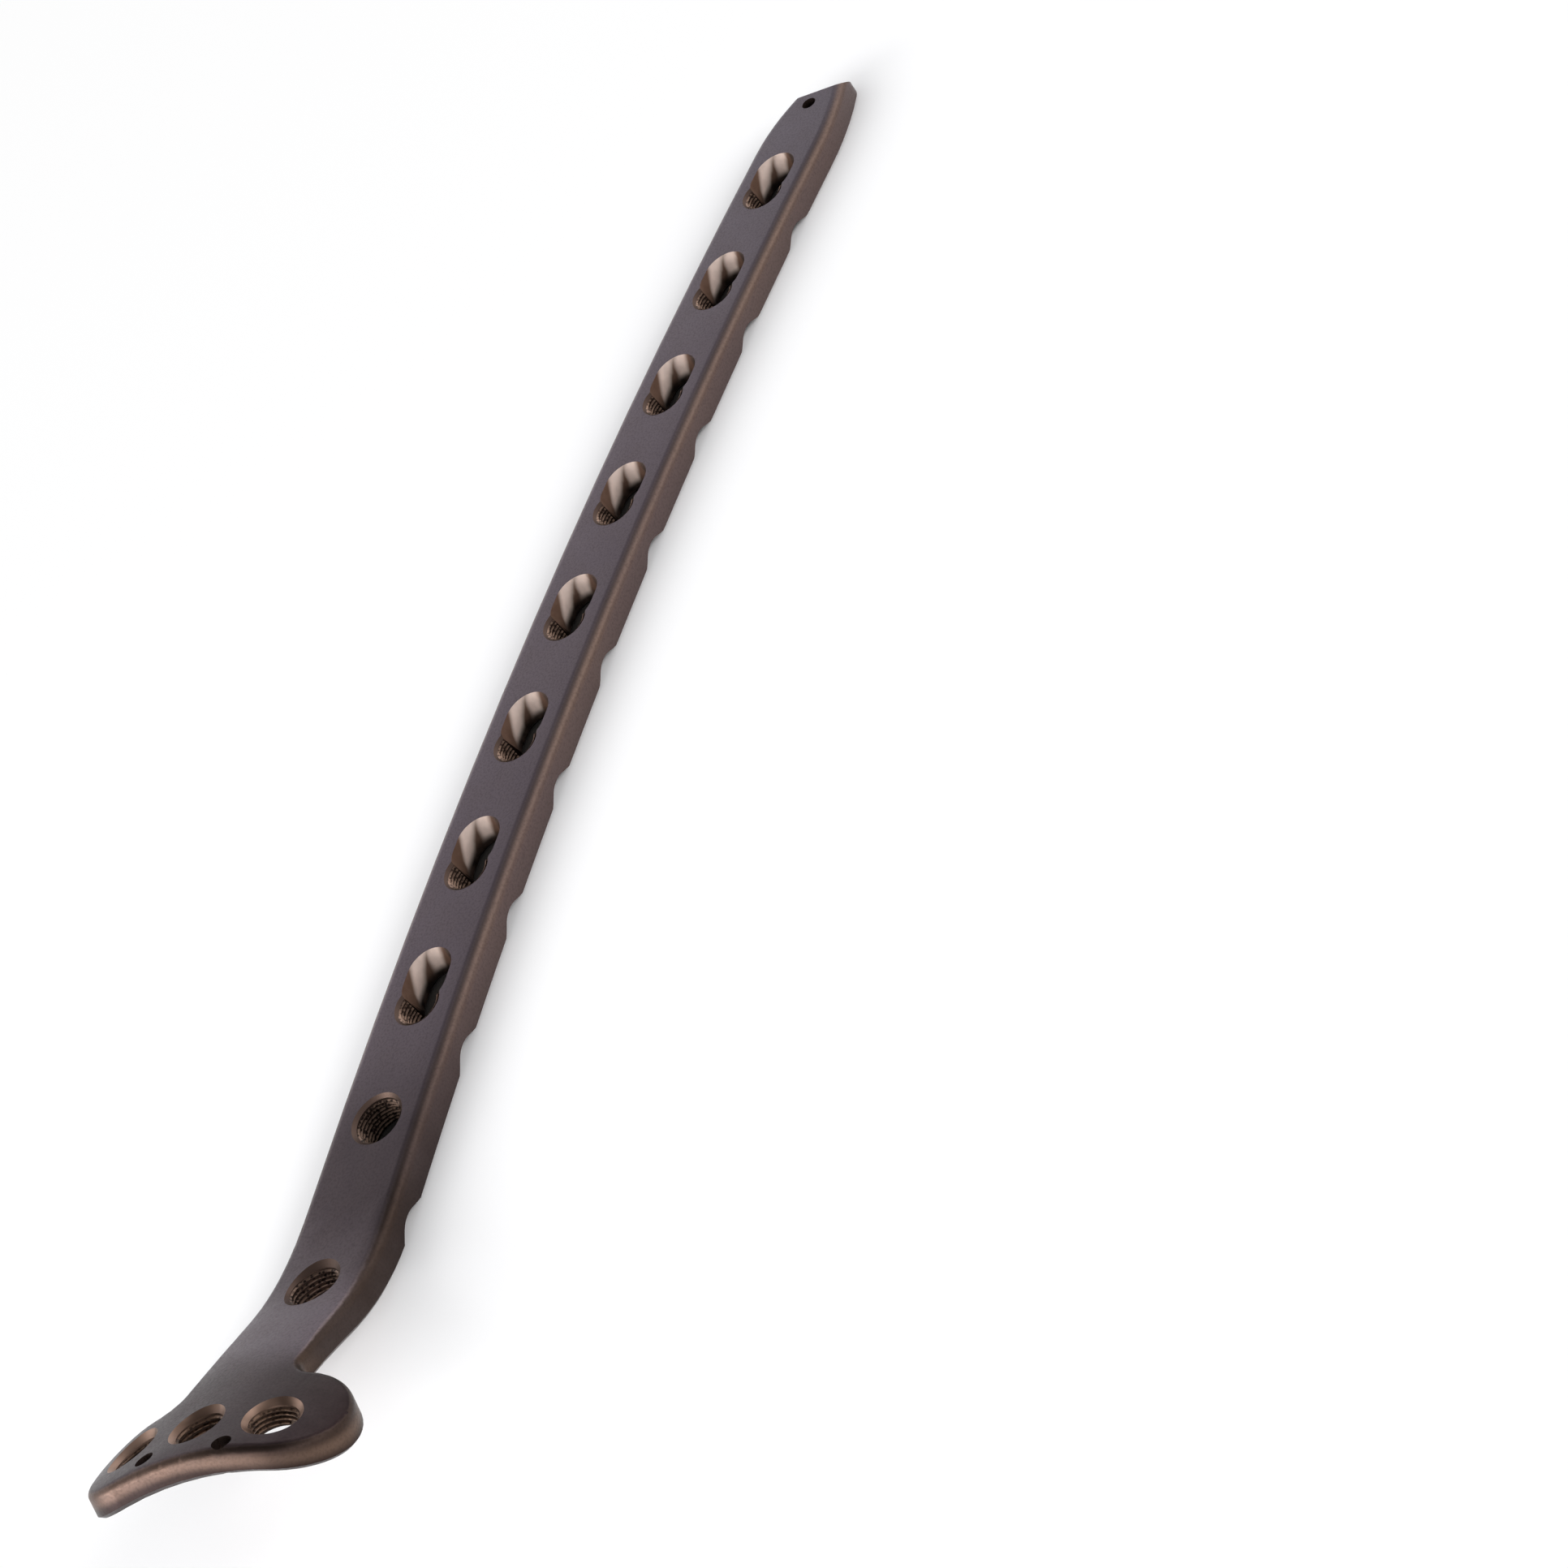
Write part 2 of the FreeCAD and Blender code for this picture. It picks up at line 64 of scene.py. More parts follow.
solid = frame["nodes"]["bone_plate"]
print("triangles in the solid:", len(solid.data.polygons))

# %% [markdown]
# ## The form of the top face
# An anodised bar looks different on its broad face, on its rounded edges and inside its
# holes. To know where a spot lies, the script needs the plate's own directions at that spot:
# straight up on the shaft, leaning back in the head, and fanned out where the head curves
# over the bone. One could paint these zones by hand. It is surer to repeat the few values
# that the plate was bent by, because they give the exact direction everywhere.

# %% Middle line and curved top face
BEND_START = -0.0116
BEND_RADIUS = 0.028
BEND_ANGLE = math.radians(27.0)
BEND_LENGTH = BEND_RADIUS * BEND_ANGLE
SHAFT_TURN = -1 / 0.790
NECK_TURN = -1 / 0.242
HEAD_ROLL = math.radians(1.2)
WRAP_RUN = 0.0146
WRAP_LEFT = 0.0378
WRAP_RIGHT = 0.0324
SHAFT_THICK = 0.0042
NO_TURN = 1e-9
HEAD_ROW = -0.0444
UP = Vector((0, 0, 1))


def along_arc(start, heading, turn, distance):
    """Point and heading after some distance on a flat arc."""
    new_heading = heading + turn * distance
    dx = (math.sin(new_heading) - math.sin(heading)) / turn
    dy = (math.cos(heading) - math.cos(new_heading)) / turn
    return start + Vector((dx, dy, 0)), new_heading


def ease(x):
    """Soft step from 0 to 1."""
    x = min(max(x, 0.0), 1.0)
    return x * x * (3 - 2 * x)


def surface(distance, side):
    """A place on the top face: its point, the direction to the tip and the outward one."""
    run = max(0.0, BEND_START - distance)
    bent = min(run, BEND_LENGTH)
    lean = bent / BEND_RADIUS
    straight = run - bent
    ahead = BEND_RADIUS * math.sin(lean) + straight * math.cos(lean)
    rise = BEND_RADIUS * (1 - math.cos(lean)) + straight * math.sin(lean)
    if run == 0:
        point, heading = along_arc(Vector(), 0.0, SHAFT_TURN, distance)
    else:
        point, heading = along_arc(Vector(), 0.0, SHAFT_TURN, BEND_START)
        point, heading = along_arc(point, heading, NECK_TURN, -ahead)
    flat = Vector((math.cos(heading), math.sin(heading), 0))
    left = Vector((-math.sin(heading), math.cos(heading), 0))
    out = UP * math.cos(lean) + flat * math.sin(lean)
    tip = left.cross(out)
    roll = HEAD_ROLL * ease(run / WRAP_RUN)
    out, left = (
        out * math.cos(roll) + left * math.sin(roll),
        left * math.cos(roll) - out * math.sin(roll),
    )
    curve = ease(run / WRAP_RUN) / (WRAP_RIGHT if side < 0 else WRAP_LEFT)
    turn = curve * side
    point = point + UP * (SHAFT_THICK + rise)
    if abs(turn) < NO_TURN:
        return point + left * side, tip, out
    point = point + left * (math.sin(turn) / curve) - out * ((1 - math.cos(turn)) / curve)
    return point, tip, out * math.cos(turn) + left * math.sin(turn)


for name, distance in (("first hole", 0.0), ("row of head holes", HEAD_ROW)):
    print("height of the top face at the", name, round(surface(distance, 0.0)[0].z, 4))

# %% [markdown]
# ## A map of the top face
# The formula goes from a place to a point. The finish needs the way back: from a point of the
# mesh to the place it belongs to. Solving that exactly is hard on a curved head, so the face is
# sown with many known places, and a search tree finds the nearest one. A spot deep in the
# plate is first carried out to the face, and then looked up once more.

# %% Places on the top face and the way back
MAP_START = -0.053
MAP_STEP = 0.00025
MAP_STEPS = 870
MAP_LANES = 24
HEAD_LANE = 0.0007
SHAFT_LANE = 0.0003

places = []
for step in range(MAP_STEPS):
    distance = MAP_START + MAP_STEP * step
    for lane in range(-MAP_LANES, MAP_LANES + 1):
        side = (HEAD_LANE if distance < BEND_START else SHAFT_LANE) * lane
        point, tip, out = surface(distance, side)
        places.append((distance, side, point, out))
lookup = KDTree(len(places))
for number, place in enumerate(places):
    lookup.insert(place[2], number)
lookup.balance()


def plate_place(spot):
    """Where a spot lies: distance, side, outward direction and depth below the top face."""
    distance, side, point, out = places[lookup.find(spot)[1]]
    foot = spot + out * (point - spot).dot(out)
    distance, side, point, out = places[lookup.find(foot)[1]]
    return distance, side, out, (point - spot).dot(out)


print("places on the map of the top face:", len(places))

# %% [markdown]
# ## The body
# The construction model comes as loose triangles, so every edge would show as a facet. A copy
# with its points merged can be shaded smoothly: faces that meet at less than 24 degrees run
# into each other, and the real edges, such as the rims of the holes, stay crisp. Each corner
# also keeps how much it faces outwards (1 on the broad face, 0 on the sides), and each point
# keeps its depth below the top. The finish reads these two numbers later.

# %% Merged copy with its two numbers
SHARP = math.radians(24)
SAME_POINT = 1e-6
SLIVER = 1e-7


def smooth_shading(bm):
    """Smooth faces, with sharp edges where two of them meet at a real corner."""
    for face in bm.faces:
        face.smooth = True
    for edge in bm.edges:
        edge.smooth = edge.is_manifold and edge.calc_face_angle() < SHARP


mesh = solid.data.copy()
plate = bpy.data.objects.new("plate", mesh)
bpy.context.collection.objects.link(plate)
bm = bmesh.new()
bm.from_mesh(mesh)
bmesh.ops.remove_doubles(bm, verts=bm.verts, dist=SAME_POINT)
bmesh.ops.dissolve_degenerate(bm, edges=bm.edges, dist=SLIVER)
smooth_shading(bm)
bm.to_mesh(mesh)
bm.free()

facing = mesh.attributes.new("facing", "FLOAT", "CORNER")
depth_below = mesh.attributes.new("depth_below", "FLOAT", "POINT")
where = [plate_place(vertex.co) for vertex in mesh.vertices]
for vertex, place in zip(mesh.vertices, where):
    depth_below.data[vertex.index].value = place[3]
for loop in mesh.loops:
    normal = mesh.corner_normals[loop.index].vector
    facing.data[loop.index].value = normal.dot(where[loop.vertex_index][2])
print("body:", len(mesh.vertices), "points,", len(mesh.polygons), "faces")

# %% [markdown]
# ## Where the holes are
# Hole walls are cut, not blasted, so they are smoother than the outside. The table lists
# each hole by its distance along the middle line, its side, its radius and the chamfer that
# leads into it. A round hole's radius and chamfer stand as a pair. A wire hole in the head is
# placed by how far it lies ahead of the row of screw holes, and by its side.

# %% Table of holes
PITCH = 0.018
FIRST_COMBI = 0.0147
COMBI_COUNT = 8
COMBI_RADIUS = 0.0026
COMBI_LEAD = 0.00035
SLOT_START = 0.0027
SLOT_STOP = 0.0044
SLOT_HALF = 0.00295
SLOT_OPENS = 0.0013
SHAFT_HOLE = (0.00285, 0.0004)
HEAD_HOLE = (0.0025, 0.00065)
NECK_HOLE_AT = -0.0208
ROW_SLANT = 0.038
HEAD_STEP = 0.0085
WIRE_RADIUS = 0.001
TIP_WIRE_AT = 0.1574
HEAD_WIRES = ((0.00425, -0.0052), (0.0039, 0.0041))

round_holes = {
    "shaft_hole": (0.0, 0.0) + SHAFT_HOLE,
    "neck_hole": (NECK_HOLE_AT, 0.0) + SHAFT_HOLE,
}
for name, side in (("head_right", -HEAD_STEP), ("head_middle", 0.0), ("head_left", HEAD_STEP)):
    round_holes[name] = (HEAD_ROW - ROW_SLANT * side, side) + HEAD_HOLE
wire_holes = [(TIP_WIRE_AT, 0.0)]
for ahead, side in HEAD_WIRES:
    wire_holes.append((HEAD_ROW - ROW_SLANT * side - ahead, side))
combi_places = [FIRST_COMBI + PITCH * count for count in range(COMBI_COUNT)]
print("holes:", len(round_holes), "round,", COMBI_COUNT, "combination,", len(wire_holes), "wire")

# %% [markdown]
# ## Which faces are hole walls
# A face belongs to a hole if it lies inside that hole's outline and doesn't look outwards. One
# could pick the faces by hand in the editor, but each new build of the solid would need it
# again, and the table already knows all outlines. The sliding half of a combination hole is
# polished for the screw head to glide on, so it is told apart from the threaded walls, and so
# are the wire holes. Each point also keeps how far round its nearest slot it lies, because
# the painted highlights and painted shade of the sliding walls follow the way round.

# %% Hole walls
SKIN, SLOT_WALL, THREAD_WALL, WIRE_WALL = range(4)
HAIR = 0.0001
BROAD_FACE = 0.9


def hole_zone(distance, side):
    """Which finish a hole wall at this place has, or the outer skin."""
    for d, v, radius, lead in round_holes.values():
        if math.hypot(distance - d, side - v) < radius + lead + HAIR:
            return THREAD_WALL
    for d, v in wire_holes:
        if math.hypot(distance - d, side - v) < WIRE_RADIUS + HAIR:
            return WIRE_WALL
    for d in combi_places:
        along = min(max(distance, d + SLOT_START), d + SLOT_STOP)
        in_slot = math.hypot(distance - along, side) < SLOT_HALF + HAIR
        if in_slot and distance > d + SLOT_OPENS:
            return SLOT_WALL
        if math.hypot(distance - d, side) < COMBI_RADIUS + COMBI_LEAD + HAIR:
            return THREAD_WALL
    return SKIN


def round_the_slot(distance, side):
    """How far round the slot's wall, from its far side past the tip end to the near side."""
    d = min(combi_places, key=lambda place: abs(distance - place - SLOT_START))
    past = distance - d - SLOT_STOP
    straight = SLOT_STOP - SLOT_START
    if past > 0:
        return straight + SLOT_HALF * (math.pi / 2 - math.atan2(side, past))
    return straight + past if side > 0 else straight + math.pi * SLOT_HALF - past


round_wall = mesh.attributes.new("round_wall", "FLOAT", "POINT")
for vertex, place in zip(mesh.vertices, where):
    round_wall.data[vertex.index].value = round_the_slot(place[0], place[1])
zones = []
for polygon in mesh.polygons:
    spots = [where[k] for k in polygon.vertices]
    centre = [sum(spot[k] for spot in spots) / 3 for k in (0, 1)]
    is_wall = abs(polygon.normal.dot(spots[0][2])) < BROAD_FACE
    zones.append(hole_zone(*centre) if is_wall else SKIN)
print("faces of skin and of slot, threaded and wire walls:", [zones.count(k) for k in range(4)])

# %% [markdown]
# ## One thread ridge
# The round holes and the round half of each combination hole carry a fine locking thread.
# A picture of lines would slide off when seen from the side, so the ridges are real: a small
# trapezium is spun round the hole's axis and climbs one pitch with each turn, the way a
# thread mill cuts it.

# %% Ridge, spun round the axis of a hole
THREAD_PITCH = 0.0005
RIDGE = 0.0002
FOOT = 0.00006
FOOT_SHARE = 0.46
CREST_SHARE = 0.10
RIDGE_STEP = math.radians(11)
FEWEST_STEPS = 6


def ridge(bm, radius, low, climb, first, sweep):
    """One ridge: a trapezium spun from one angle on, while it climbs."""
    steps = max(FEWEST_STEPS, int(sweep / RIDGE_STEP))
    foot, crest = radius + FOOT, radius - RIDGE
    profile = [(foot, -FOOT_SHARE), (crest, -CREST_SHARE), (crest, CREST_SHARE), (foot, FOOT_SHARE)]
    corners = [
        bm.verts.new((r * math.cos(first), r * math.sin(first), low + z * THREAD_PITCH))
        for r, z in profile
    ]
    edges = [bm.edges.new((corners[k - 1], corners[k])) for k in range(4)]
    bm.faces.new(corners)
    spun = bmesh.ops.spin(
        bm, geom=corners + edges, cent=(0, 0, 0), axis=(0, 0, 1),
        dvec=(0, 0, climb / steps), angle=sweep, steps=steps,
    )
    last = [item for item in spun["geom_last"] if isinstance(item, bmesh.types.BMEdge)]
    bmesh.ops.contextual_create(bm, geom=last)


print("a ridge stands", RIDGE * 1000, "mm proud of its wall")

# %% [markdown]
# ## Threads in all holes
# A thread made at the origin is simple, and each hole then needs only its own axes to set the
# thread down in the leaning, curved head. A round hole gets one long ridge. In a combination
# hole the ridges stop where the sliding half opens, so there each turn is an arc of its own.

# %% Three pieces with threads
NECK_THICK = 0.0036
HEAD_THICK = 0.0029
THREAD_END = 0.0003
COMBI_THREAD_END = 0.0006
COMBI_THREAD_TOP = 0.0005
OPEN = math.radians(68)
FULL_TURN = 2 * math.pi


def hole_frame(distance, side):
    """Sets a hole's own axes down in the plate, with +Z outwards."""
    point, tip, out = surface(distance, side)
    left = out.cross(tip).normalized()
    turn = Matrix((left.cross(out), left, out)).transposed().to_4x4()
    return Matrix.Translation(point) @ turn


def add_thread(target, frame_of_hole, radius, low, high, arc=None):
    """All ridges of one hole, made at the origin and then set down in their place."""
    own = bmesh.new()
    if arc is None:
        ridge(own, radius, low, high - low, 0.0, FULL_TURN * (high - low) / THREAD_PITCH)
    else:
        first, sweep = arc
        for turn in range(int((high - low) / THREAD_PITCH) + 1):
            climb = THREAD_PITCH * sweep / FULL_TURN
            ridge(own, radius, low + turn * THREAD_PITCH, climb, first, sweep)
    bmesh.ops.recalc_face_normals(own, faces=own.faces)
    bmesh.ops.transform(own, matrix=frame_of_hole, verts=own.verts)
    part = bpy.data.meshes.new("part")
    own.to_mesh(part)
    own.free()
    target.from_mesh(part)
    bpy.data.meshes.remove(part)


def thread_piece(name, holes):
    """One piece with the threads of several holes."""
    mesh = bpy.data.meshes.new(name)
    bm = bmesh.new()
    for hole in holes:
        add_thread(bm, *hole)
    smooth_shading(bm)
    bm.to_mesh(mesh)
    bm.free()
    piece = bpy.data.objects.new(name, mesh)
    bpy.context.collection.objects.link(piece)
    print(name + ":", len(mesh.polygons), "faces")
    return piece


shaft_holes = []
head_holes = []
for name, (d, v, radius, lead) in round_holes.items():
    thick = {"shaft_hole": SHAFT_THICK, "neck_hole": NECK_THICK}.get(name, HEAD_THICK)
    holes = head_holes if name.startswith("head") else shaft_holes
    holes.append((hole_frame(d, v), radius, THREAD_END - thick, -lead - HAIR))
shaft_threads = thread_piece("shaft_threads", shaft_holes)
head_threads = thread_piece("head_threads", head_holes)
combi_low = COMBI_THREAD_END - SHAFT_THICK
combi_arc = (OPEN, FULL_TURN - 2 * OPEN)
combi_threads = thread_piece("combination_threads", [
    (hole_frame(d, 0.0), COMBI_RADIUS, combi_low, -COMBI_THREAD_TOP, combi_arc)
    for d in combi_places
])

# %% [markdown]
# ## A small language for shaders
# A finish is a chain of nodes. Wiring them one by one hides the idea, so a small class stands
# for one socket: sums, differences and products of sockets make the nodes by themselves, and
# one method adds any other node.

# %% Shader sockets that can be used in a formula
class Val:
    """A shader socket, used like a number."""

    def __init__(self, tree, socket=None):
        self.tree, self.socket = tree, socket

    def node(self, kind, settings=None, sockets=None, out=0):
        """Any node, with its settings and its inputs, as the socket that comes out."""
        node = self.tree.nodes.new(kind)
        for key, value in (settings or {}).items():
            if key == "stops":
                elements = node.color_ramp.elements
                while len(elements) < len(value):
                    elements.new(1.0)
                for element, (position, colour) in zip(elements, value):
                    element.position, element.color = position, colour
            else:
                setattr(node, key, value)
        for key, value in (sockets or {}).items():
            if isinstance(value, Val):
                self.tree.links.new(value.socket, node.inputs[key])
            else:
                node.inputs[key].default_value = value
        return Val(self.tree, node.outputs[out])

    def math(self, operation, a, b):
        """A Math node on two values."""
        return self.node("ShaderNodeMath", {"operation": operation}, {0: a, 1: b})

    def __add__(self, other):
        return self.math("ADD", self, other)

    def __radd__(self, other):
        return self.math("ADD", other, self)

    def __sub__(self, other):
        return self.math("SUBTRACT", self, other)

    def __rsub__(self, other):
        return self.math("SUBTRACT", other, self)

    def __mul__(self, other):
        return self.math("MULTIPLY", self, other)

    def __rmul__(self, other):
        return self.math("MULTIPLY", other, self)

    def into(self, shader, name):
        """Wires this socket to an input of the shader."""
        self.tree.links.new(self.socket, shader.inputs[name])


print("sums, differences and products of sockets are ready")

# %% [markdown]
# ## Helpers for finishes
# Each finish below is the same kind of recipe: take a colour, and blend another one over it
# where a mask says so. The masks come from noise, from the place on the plate or from the
# numbers that the body keeps. These helpers give each of those a short name.

# %% Colours, masks and blends
def linear(red, green, blue):
    """A colour as a screen shows it, turned into the light values that a shader needs."""
    def channel(c):
        c = c / 255
        return c / 12.92 if c <= 0.04 else ((c + 0.055) / 1.055) ** 2.4
    return (channel(red), channel(green), channel(blue), 1.0)


def surface_finish(name, roughness, metallic):
    """A new material with its shader, and a socket to start formulas from."""
    material = bpy.data.materials.new(name)
    material.use_nodes = True
    shader = material.node_tree.nodes["Principled BSDF"]
    shader.inputs["Metallic"].default_value = metallic
    shader.inputs["Roughness"].default_value = roughness
    return material, shader, Val(material.node_tree)


def spot_on_plate(w):
    """The spot in the plate's own coordinates, as a vector."""
    return w.node("ShaderNodeTexCoord", out=3)


def coordinate(w, axis):
    """One coordinate of the spot: 0 runs to the tip, 1 to the left."""
    return w.node("ShaderNodeSeparateXYZ", {}, {0: spot_on_plate(w)}, out=axis)


def noise(w, scale, detail):
    """Noise around 0.5, fixed to the plate."""
    sockets = {"Vector": spot_on_plate(w), "Scale": scale, "Detail": detail}
    return w.node("ShaderNodeTexNoise", {}, sockets)


def soft_step(w, value, low, high):
    """0 below low, 1 above high. With low above high it falls instead."""
    sockets = {"Value": value, "From Min": low, "From Max": high}
    return w.node("ShaderNodeMapRange", {"interpolation_type": "SMOOTHSTEP"}, sockets)


def blend(w, factor, a, b):
    """Blend of two colours."""
    return w.node("ShaderNodeMix", {"data_type": "RGBA"}, {"Factor": factor, 6: a, 7: b}, out=2)


def stored(w, name):
    """A number that the body keeps at each point or corner."""
    return w.node("ShaderNodeAttribute", {"attribute_name": name}, out=2)


def larger(w, a, b):
    """The larger of two values."""
    return w.math("MAXIMUM", a, b)


def ramp(w, value, stops):
    """A run of colours along a value."""
    return w.node("ShaderNodeValToRGB", {"stops": stops}, {0: value})


print("a mid grey on the screen is", round(linear(128, 128, 128)[0], 3), "in light")

# %% [markdown]
# ## Tones of the anodised skin
# The outside is blasted with fine grit and then anodised to a dull brown with a violet cast.
# The rounded edges are a lighter bronze than the broad face: partly a thinner film where the
# blasting leaves the metal smoother, partly a painted highlight where the rounding catches the
# light. These tones could be painted as a texture, but the stored outward number already knows
# how far each spot has turned, so it drives them through a run of colours.

# %% Tones from the sides to the broad face
# Tones from 0.30 to 0.94 are lighter: partly a thinner film on the rounded edges, partly a painted
# highlight.
SKIN_AND_EDGE_HIGHLIGHT_TONES = [
    (0.00, (104, 87, 83)),
    (0.30, (106, 87, 79)),
    (0.55, (121, 101, 90)),
    (0.74, (120, 101, 92)),
    (0.86, (116, 101, 97)),
    (0.94, (120, 107, 109)),
    (0.985, (97, 87, 93)),
]
skin, shader, w = surface_finish("anodised_skin", 0.40, 1.0)
outwards = stored(w, "facing")
tone = ramp(w, outwards, [(at, linear(*colour)) for at, colour in SKIN_AND_EDGE_HIGHLIGHT_TONES])
print("skin tones:", len(SKIN_AND_EDGE_HIGHLIGHT_TONES))

# %% [markdown]
# ## Zones of the plate
# The finish isn't the same all over: the head, its right lobe, the first hole, the neck and
# the way to the tip each have a tone of their own, and on the right lobe that tone is painted
# shade. One could paint such zones by hand. Soft steps along the plate and across it need only
# two numbers each, and they stay in place when the solid is built again. Two more masks tell
# the upper face from the sides.

# %% Zones along the plate
HEAD_ZONE = (-0.029, -0.036)
RIGHT_LOBE_ZONE = (-0.003, -0.011)
RIGHT_END_ZONE = (-0.003, -0.014)
FIRST_HOLE_ZONE = ((0.012, -0.004), (-0.026, -0.018))
NECK_ZONE = ((0.024, -0.012), (-0.044, -0.034))
TIP_ZONE = (0.090, 0.160)
along = coordinate(w, 0)
across = coordinate(w, 1)
upper = soft_step(w, outwards, 0.80, 0.96)
sides = (1 - upper) * soft_step(w, outwards, -0.95, -0.78)
head = soft_step(w, along, *HEAD_ZONE)
right_lobe = head * soft_step(w, across, *RIGHT_LOBE_ZONE)
right_end = soft_step(w, across, *RIGHT_END_ZONE)
first_hole = soft_step(w, along, *FIRST_HOLE_ZONE[0]) * soft_step(w, along, *FIRST_HOLE_ZONE[1])
neck = soft_step(w, along, *NECK_ZONE[0]) * soft_step(w, along, *NECK_ZONE[1])
toward_tip = soft_step(w, along, *TIP_ZONE)
print("the head's zone is full from", HEAD_ZONE[1], "on")

# %% [markdown]
# ## Darker zones, painted highlight and painted shade
# The skin is darker on the head, round the first hole and on the sides of the neck, and the top
# of the right lobe gets painted shade. The long front edge of the head gets a painted bronze
# highlight, with a line of painted shade above it and below it. Each layer is a mask with its
# colour. They stand in a list, from the first one laid on to the last, because a later layer covers
# the ones before it.

# %% Darker zones, painted highlight on the front edge and its two lines of painted shade
DARK_ZONE_TONE = linear(44, 35, 31)
PAINTED_SHADE_LINE = linear(44, 34, 30)
PAINTED_EDGE_HIGHLIGHT = linear(120, 97, 81)
EDGE_PAINTED_SHADE = linear(58, 45, 38)
LOBE_PAINTED_SHADE = linear(26, 19, 18)
HEAD_VIOLET = linear(50, 33, 37)
TIP_GREY = linear(82, 78, 87)
LOW_SHADE_DEPTHS = (0.0015, 0.0026)
HIGH_SHADE_DEPTHS = (0.0014, 0.0005)
LOW_SHADE_LIFT = 0.0005

# Darker on the head, round the first hole and on the neck's sides; the right lobe's share is
# painted shade.
dark_zones_and_lobe_shade = upper * (first_hole * 0.48 + head * 0.68 + right_lobe * 0.30) + sides * neck * 0.80
front = head * sides
deep = stored(w, "depth_below")
# Painted shade: dark lines along the bottom and along the top of the head's rounded sides.
low_shade_mask = soft_step(w, deep + (head - right_lobe) * LOW_SHADE_LIFT, *LOW_SHADE_DEPTHS)
high_shade_mask = soft_step(w, deep, *HIGH_SHADE_DEPTHS) * sides
layers = [
    (dark_zones_and_lobe_shade, DARK_ZONE_TONE),
    # Painted highlight: a bronze band along the head's front edge, dimmed by painted shade towards
    # its right end.
    (front * 0.60, PAINTED_EDGE_HIGHLIGHT),
    (front * right_end * 0.28, EDGE_PAINTED_SHADE),
    (low_shade_mask * front * 0.95, PAINTED_SHADE_LINE),
    (high_shade_mask * (head * 0.30 + right_lobe * 0.45), PAINTED_SHADE_LINE),
    # Painted shade on the top of the right lobe.
    (upper * right_lobe * 0.35, LOBE_PAINTED_SHADE),
    (upper * head * 0.35, HEAD_VIOLET),
    (upper * toward_tip * 0.40, TIP_GREY),
]
for mask, colour in layers:
    tone = blend(w, mask, tone, colour)
print("layers on the skin:", len(layers))

# %% [markdown]
# ## Clouds and grain
# Slow clouds shift the tone the way an anodising bath does, mottle breaks it up every few
# millimetres, and a fine grain stands for the blasting. One noise could do all three, but
# they act on different things: clouds only on colour, mottle a little on roughness too, and
# the grain on colour, roughness and height.

# %% Clouds, mottle and blasted grain
CLOUD_SCALE = 38.0
MOTTLE_SCALE = 260.0
GRAIN_SCALE = 3600.0
GRAIN_HEIGHT = 0.00002
clouds = soft_step(w, noise(w, CLOUD_SCALE, 4.0), 0.36, 0.66)
mottle = soft_step(w, noise(w, MOTTLE_SCALE, 3.0), 0.30, 0.72)
grain = noise(w, GRAIN_SCALE, 2.0)
tone = blend(w, clouds * 0.16, tone, linear(78, 68, 78))
tone = blend(w, mottle * 0.10, tone, linear(116, 102, 100))
tone = blend(w, soft_step(w, grain, 0.42, 0.70) * 0.16, tone, linear(40, 34, 34))
tone.into(shader, "Base Color")
((grain - 0.5) * 0.26 + (mottle - 0.5) * 0.05 + 0.40).into(shader, "Roughness")
bump = {"Strength": 0.22, "Distance": GRAIN_HEIGHT, "Height": grain}
w.node("ShaderNodeBump", {}, bump).into(shader, "Normal")
print("nodes in the skin:", len(skin.node_tree.nodes))

# %% [markdown]
# ## Sliding walls
# The sliding walls are milled and polished pale bronze metal. Their soft bright bands are
# painted highlights, and where they go dark, at the bottom and past the slot's tip end on to the
# near side, that is painted shade. Lamps could put such bands there, but the same lamps glare on
# the shaft's edge. So the bands are in the colour, and follow the way round the slot that each
# point keeps. A share of plain scatter goes with the metal, because a milled wall is never a
# mirror.

# %% Sliding walls, in millimetres round the slot and down it
MM = 1000.0
FAR_BAND = (3.6, 1.0, 1.9)
END_BAND = (5.8, 0.35, 1.25)
DARK_BELOW = (2.2, 3.3)
DARK_ROUND = (6.8, 7.8)
STREAK_SCALE = 900.0
slot_wall, shader, w = surface_finish("slot_walls", 0.34, 0.45)
deep = stored(w, "depth_below") * MM
round_it = stored(w, "round_wall") * MM


def painted_highlight_band(at_rim, drift, half_width):
    """A soft painted highlight band up the wall that drifts along it with depth."""
    off = (round_it + deep * drift - at_rim) * (1 / half_width)
    return 1 - soft_step(w, off * off, 0.0, 1.0)


# Painted highlights: two bright bands round the slot's wall.
bands = larger(w, painted_highlight_band(*FAR_BAND), painted_highlight_band(*END_BAND))
tone = blend(w, bands, linear(104, 80, 67), linear(240, 218, 206))
# Painted shade at the bottom of the wall and on its near side.
shade = larger(w, soft_step(w, deep, *DARK_BELOW), soft_step(w, round_it, *DARK_ROUND))
tone = blend(w, shade, tone, linear(30, 23, 20))
streak = soft_step(w, noise(w, STREAK_SCALE, 2.0), 0.35, 0.70)
blend(w, streak * 0.15, tone, linear(150, 122, 108)).into(shader, "Base Color")
print("bright bands at", FAR_BAND[0], "and", END_BAND[0], "mm round the slot")

# %% [markdown]
# ## Threaded walls and wire holes
# The threaded walls carry the brown film, with painted shade that grows with depth. In the head
# the countersinks above the threads get a painted bronze highlight with an uneven glint. The
# wire holes are plain bores whose dark colour is painted shade, so they need one colour and no
# pattern.

